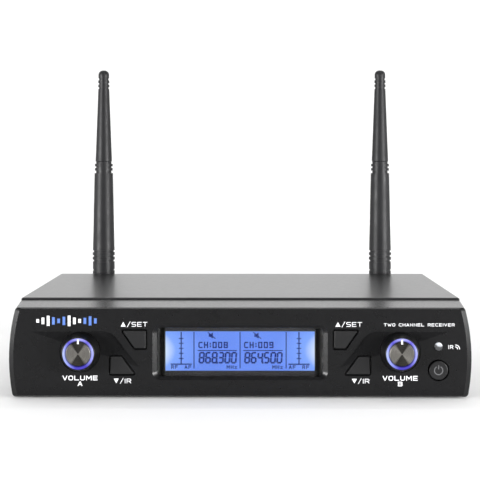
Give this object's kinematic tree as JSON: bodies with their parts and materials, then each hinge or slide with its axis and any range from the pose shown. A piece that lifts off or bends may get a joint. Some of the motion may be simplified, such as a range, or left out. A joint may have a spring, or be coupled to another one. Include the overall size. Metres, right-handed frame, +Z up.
{
  "type": "wireless receiver",
  "caption": "Half-rack wireless microphone receiver with a backlit display, lit volume knobs, keys and hinged rod antennas on its rear panel.",
  "frame": {"origin": "middle of the footprint, at the height of the foot pads' undersides", "axes": "+X to the right seen from the front, front towards -Y, +Z up"},
  "size_m": [0.212, 0.181, 0.1605],
  "materials": {
    "cover_paint": "satin black powder coat",
    "tray_paint": "black powder coat",
    "panel_plastic": "fine satin moulded black",
    "button_plastic": "satin moulded dark grey",
    "knob_plastic": "satin moulded black",
    "ring_light": "frosted light guide, lit blue",
    "cap_aluminium": "spun with circular grain",
    "pointer_white": "satin white",
    "window_acrylic": "clear with a black printed border",
    "lcd_glass": "clear cell with dark segments",
    "backlight": "diffuser lit pale blue",
    "frame_plastic": "moulded black",
    "foam": "black foam",
    "foot_rubber": "matte black",
    "lens_clear": "clear moulded lens",
    "switch_plastic": "moulded",
    "pot_metal": "zinc plated",
    "board_laminate": "green solder mask",
    "screw_steel": "blackened",
    "screw_zinc": "zinc plated",
    "ribbon": "grey flat cable",
    "header_plastic": "natural nylon",
    "shield_tin": "tinned sheet",
    "coax_jacket": "black jacket",
    "capacitor_sleeve": "dark sleeve",
    "chip_epoxy": "black epoxy",
    "nickel": "satin nickel",
    "insert_plastic": "moulded black",
    "pin_metal": "plated contacts",
    "antenna_brass": "plated bulkhead",
    "antenna_plastic": "moulded black",
    "pin_steel": "plain steel",
    "antenna_rubber": "satin black sleeve"
  },
  "bodies": {
    "case": {"antenna_sockets": "antenna_brass", "base_tray": "tray_paint", "capacitors": "capacitor_sleeve", "case_screws": "screw_steel", "chips": "chip_epoxy", "coax_lead_a": "coax_jacket", "coax_lead_b": "coax_jacket", "dc_inlet": "insert_plastic", "display_board": "board_laminate", "display_board_screws": "screw_zinc", "display_gasket": "foam", "display_window": "window_acrylic", "foot_pads": "foot_rubber", "front_panel": "panel_plastic", "ir_lens": "lens_clear", "jack_nut": "nickel", "jack_socket": "insert_plastic", "lcd_backlight": "backlight", "lcd_frame": "frame_plastic", "lcd_glass": "lcd_glass", "main_board": "board_laminate", "main_board_screws": "screw_zinc", "panel_screws": "screw_steel", "pot_body_a": "pot_metal", "pot_body_b": "pot_metal", "pot_nuts": "pot_metal", "power_switch": "switch_plastic", "rear_panel": "tray_paint", "rf_module_a": "shield_tin", "rf_module_b": "shield_tin", "ribbon_cable": "ribbon", "ribbon_headers": "header_plastic", "standoffs": "screw_zinc", "tact_switches": "switch_plastic", "top_cover": "cover_paint", "xlr_inserts": "insert_plastic", "xlr_pins": "pin_metal", "xlr_screws": "screw_steel", "xlr_shells": "nickel"},
    "volume_a": {"knob_a": "knob_plastic", "knob_ring_a": "ring_light", "knob_cap_a": "cap_aluminium", "knob_pointer_a": "pointer_white", "pot_shaft_a": "pot_metal"},
    "set_key_a": {"set_button_a": "button_plastic"},
    "ir_key_a": {"ir_button_a": "button_plastic"},
    "swivel_a": {"antenna_swivel_a": "antenna_plastic", "hinge_pin_a": "pin_steel"},
    "mast_a": {"antenna_mast_a": "antenna_rubber"},
    "volume_b": {"knob_b": "knob_plastic", "knob_ring_b": "ring_light", "knob_cap_b": "cap_aluminium", "knob_pointer_b": "pointer_white", "pot_shaft_b": "pot_metal"},
    "set_key_b": {"set_button_b": "button_plastic"},
    "ir_key_b": {"ir_button_b": "button_plastic"},
    "swivel_b": {"antenna_swivel_b": "antenna_plastic", "hinge_pin_b": "pin_steel"},
    "mast_b": {"antenna_mast_b": "antenna_rubber"},
    "power_key": {"power_button": "button_plastic"}
  },
  "joints": [
    {"name": "volume_a_turn", "type": "hinge", "parent": "case", "child": "volume_a", "pos_m": [-0.0732, -0.08228, 0.0214], "axis": [0, 1, 0], "range_deg": [-150, 150]},
    {"name": "set_a_press", "type": "slide", "parent": "case", "child": "set_key_a", "axis": [0, 1, 0], "range_m": [0, 0.0006], "stiffness_N_per_m": 1000, "springref_m": -0.0008},
    {"name": "ir_a_press", "type": "slide", "parent": "case", "child": "ir_key_a", "axis": [0, 1, 0], "range_m": [0, 0.0006], "stiffness_N_per_m": 1000, "springref_m": -0.0008},
    {"name": "antenna_a_swivel", "type": "hinge", "parent": "case", "child": "swivel_a", "pos_m": [-0.0793, 0.08413, 0.0306], "axis": [0, 1, 0], "range_deg": [-90, 90]},
    {"name": "antenna_a_fold", "type": "hinge", "parent": "swivel_a", "child": "mast_a", "pos_m": [-0.0793, 0.08413, 0.0306], "axis": [-1, 0, 0], "range_deg": [0, 90]},
    {"name": "volume_b_turn", "type": "hinge", "parent": "case", "child": "volume_b", "pos_m": [0.0732, -0.08228, 0.0214], "axis": [0, 1, 0], "range_deg": [-150, 150]},
    {"name": "set_b_press", "type": "slide", "parent": "case", "child": "set_key_b", "axis": [0, 1, 0], "range_m": [0, 0.0006], "stiffness_N_per_m": 1000, "springref_m": -0.0008},
    {"name": "ir_b_press", "type": "slide", "parent": "case", "child": "ir_key_b", "axis": [0, 1, 0], "range_m": [0, 0.0006], "stiffness_N_per_m": 1000, "springref_m": -0.0008},
    {"name": "antenna_b_swivel", "type": "hinge", "parent": "case", "child": "swivel_b", "pos_m": [0.0793, 0.08413, 0.0306], "axis": [0, 1, 0], "range_deg": [-90, 90]},
    {"name": "antenna_b_fold", "type": "hinge", "parent": "swivel_b", "child": "mast_b", "pos_m": [0.0793, 0.08413, 0.0306], "axis": [-1, 0, 0], "range_deg": [0, 90]},
    {"name": "power_press", "type": "slide", "parent": "case", "child": "power_key", "axis": [0, 1, 0], "range_m": [0, 0.0015], "stiffness_N_per_m": 1200, "springref_m": -0.0008}
  ]
}
